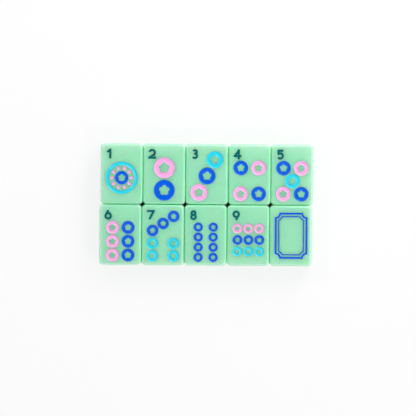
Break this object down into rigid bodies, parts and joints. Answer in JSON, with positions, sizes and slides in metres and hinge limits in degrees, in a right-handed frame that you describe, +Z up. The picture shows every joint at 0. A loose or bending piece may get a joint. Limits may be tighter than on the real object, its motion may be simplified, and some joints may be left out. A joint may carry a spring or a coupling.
{
  "type": "mahjong tile set",
  "caption": "Engraved mahjong tiles of the dots suit with a framed blank, laid face up in rows: rounded translucent blocks with separate enamel inlays, each lifting off the table.",
  "frame": {"origin": "on the table, under the middle of the ten tiles", "axes": "+X along the rows from the one to the five, +Y from the row of high numbers to the row of low numbers, +Z up out of the faces"},
  "size_m": [0.1116, 0.0636, 0.0127],
  "materials": {
    "mint_resin": "cast translucent mint-green resin, polished to a soft satin",
    "teal_enamel": "glossy dark teal enamel in engraved strokes",
    "pink_enamel": "glossy pale pink enamel in engraved pockets",
    "blue_enamel": "glossy royal blue enamel in engraved pockets",
    "cyan_enamel": "glossy bright cyan enamel in engraved pockets"
  },
  "bodies": {
    "one_dot": {"one_dot_block": "mint_resin", "one_dot_numeral": "teal_enamel", "one_dot_cyan_rim": "cyan_enamel", "one_dot_pink_petals": "pink_enamel", "one_dot_blue_eye": "blue_enamel"},
    "two_dot": {"two_dot_block": "mint_resin", "two_dot_numeral": "teal_enamel", "two_dot_pink_dot": "pink_enamel", "two_dot_blue_dot": "blue_enamel"},
    "three_dot": {"three_dot_block": "mint_resin", "three_dot_numeral": "teal_enamel", "three_dot_cyan_dot": "cyan_enamel", "three_dot_blue_dot": "blue_enamel", "three_dot_pink_dot": "pink_enamel"},
    "four_dot": {"four_dot_block": "mint_resin", "four_dot_numeral": "teal_enamel", "four_dot_blue_dots": "blue_enamel", "four_dot_pink_dots": "pink_enamel"},
    "five_dot": {"five_dot_block": "mint_resin", "five_dot_numeral": "teal_enamel", "five_dot_blue_dots": "blue_enamel", "five_dot_pink_dots": "pink_enamel", "five_dot_cyan_dot": "cyan_enamel"},
    "six_dot": {"six_dot_block": "mint_resin", "six_dot_numeral": "teal_enamel", "six_dot_pink_dots": "pink_enamel", "six_dot_blue_dots": "blue_enamel"},
    "seven_dot": {"seven_dot_block": "mint_resin", "seven_dot_numeral": "teal_enamel", "seven_dot_blue_dots": "blue_enamel", "seven_dot_cyan_dots": "cyan_enamel"},
    "eight_dot": {"eight_dot_block": "mint_resin", "eight_dot_numeral": "teal_enamel", "eight_dot_blue_dots": "blue_enamel"},
    "nine_dot": {"nine_dot_block": "mint_resin", "nine_dot_numeral": "teal_enamel", "nine_dot_pink_dots": "pink_enamel", "nine_dot_blue_dots": "blue_enamel", "nine_dot_cyan_dots": "cyan_enamel"},
    "white_dragon": {"white_dragon_block": "mint_resin", "white_dragon_outer_line": "blue_enamel", "white_dragon_inner_line": "blue_enamel"}
  },
  "joints": [
    {"name": "one_dot_lift", "type": "slide", "parent": "eight_dot", "child": "one_dot", "axis": [0, 0, 1], "range_m": [0, 0.03]},
    {"name": "two_dot_lift", "type": "slide", "parent": "eight_dot", "child": "two_dot", "axis": [0, 0, 1], "range_m": [0, 0.03]},
    {"name": "three_dot_lift", "type": "slide", "parent": "eight_dot", "child": "three_dot", "axis": [0, 0, 1], "range_m": [0, 0.03]},
    {"name": "four_dot_lift", "type": "slide", "parent": "eight_dot", "child": "four_dot", "axis": [0, 0, 1], "range_m": [0, 0.03]},
    {"name": "five_dot_lift", "type": "slide", "parent": "eight_dot", "child": "five_dot", "axis": [0, 0, 1], "range_m": [0, 0.03]},
    {"name": "six_dot_lift", "type": "slide", "parent": "eight_dot", "child": "six_dot", "axis": [0, 0, 1], "range_m": [0, 0.03]},
    {"name": "seven_dot_lift", "type": "slide", "parent": "eight_dot", "child": "seven_dot", "axis": [0, 0, 1], "range_m": [0, 0.03]},
    {"name": "nine_dot_lift", "type": "slide", "parent": "eight_dot", "child": "nine_dot", "axis": [0, 0, 1], "range_m": [0, 0.03]},
    {"name": "white_dragon_lift", "type": "slide", "parent": "eight_dot", "child": "white_dragon", "axis": [0, 0, 1], "range_m": [0, 0.03]}
  ]
}
